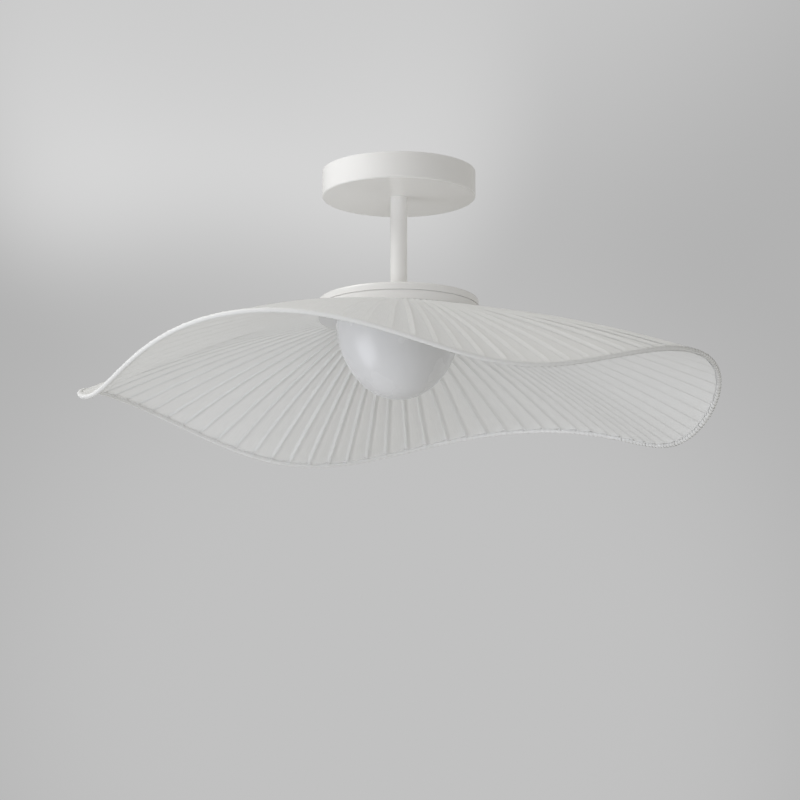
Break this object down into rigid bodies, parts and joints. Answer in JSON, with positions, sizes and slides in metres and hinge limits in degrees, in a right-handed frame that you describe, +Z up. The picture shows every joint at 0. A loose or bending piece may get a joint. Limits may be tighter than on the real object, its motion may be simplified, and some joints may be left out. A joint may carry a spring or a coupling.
{
  "type": "fabric ceiling light",
  "caption": "Semi-flush ceiling light: a pleated fabric shade with a wavy bound rim under a round pan on a short rod and canopy, with a pull-off opal dome over the lamp board.",
  "frame": {"origin": "in the ceiling's plane, on the axis of the rod, midway between the bracket's two slots", "axes": "+Z up into the ceiling, +X along the ceiling bracket, -Y towards the viewer of the picture"},
  "size_m": [0.6012, 0.6012, 0.2468],
  "materials": {
    "white_satin_paint": "satin",
    "zinc_plated_steel": "satin",
    "spring_steel": "bright",
    "ring_steel": "satin",
    "pleated_cloth": "matt woven",
    "cotton_tape": "matt woven",
    "opal_acrylic": "satin",
    "board_enamel": "matt white",
    "chip_phosphor": "matt",
    "white_nylon": "moulded",
    "driver_case": "moulded",
    "terminal_brass": "bright",
    "foam": "closed-cell foam",
    "silicone_lead": "satin",
    "mains_lead": "satin",
    "striped_lead": "satin"
  },
  "bodies": {
    "fixture": {"canopy_cup": "white_satin_paint", "rod_tube": "white_satin_paint", "pan_lid": "white_satin_paint", "pan_body": "white_satin_paint", "clamp_plate": "white_satin_paint", "ceiling_bracket": "zinc_plated_steel", "canopy_screws": "zinc_plated_steel", "earth_lug": "zinc_plated_steel", "earth_washer": "zinc_plated_steel", "earth_screw": "zinc_plated_steel", "rod_plugs": "zinc_plated_steel", "nipples": "zinc_plated_steel", "nipple_nuts": "zinc_plated_steel", "nipple_washers": "zinc_plated_steel", "standoffs": "zinc_plated_steel", "plate_screws": "zinc_plated_steel", "board_screws": "zinc_plated_steel", "spring_screws": "zinc_plated_steel", "dome_springs": "spring_steel", "shade_inner_ring": "ring_steel", "shade_rim_wire": "ring_steel", "shade_fabric": "pleated_cloth", "rim_binding": "cotton_tape", "led_board": "board_enamel", "led_chips": "chip_phosphor", "nipple_bushes": "white_nylon", "board_connector": "white_nylon", "terminal_block": "white_nylon", "led_driver": "driver_case", "terminal_screws": "terminal_brass", "foam_pads": "foam", "output_leads": "silicone_lead", "input_leads": "mains_lead", "earth_lead": "striped_lead"},
    "dome": {"dome": "opal_acrylic"}
  },
  "joints": [
    {"name": "dome_drop", "type": "slide", "parent": "fixture", "child": "dome", "axis": [0, 0, -1], "range_m": [0, 0.12], "deforming": ["dome_springs"]}
  ]
}
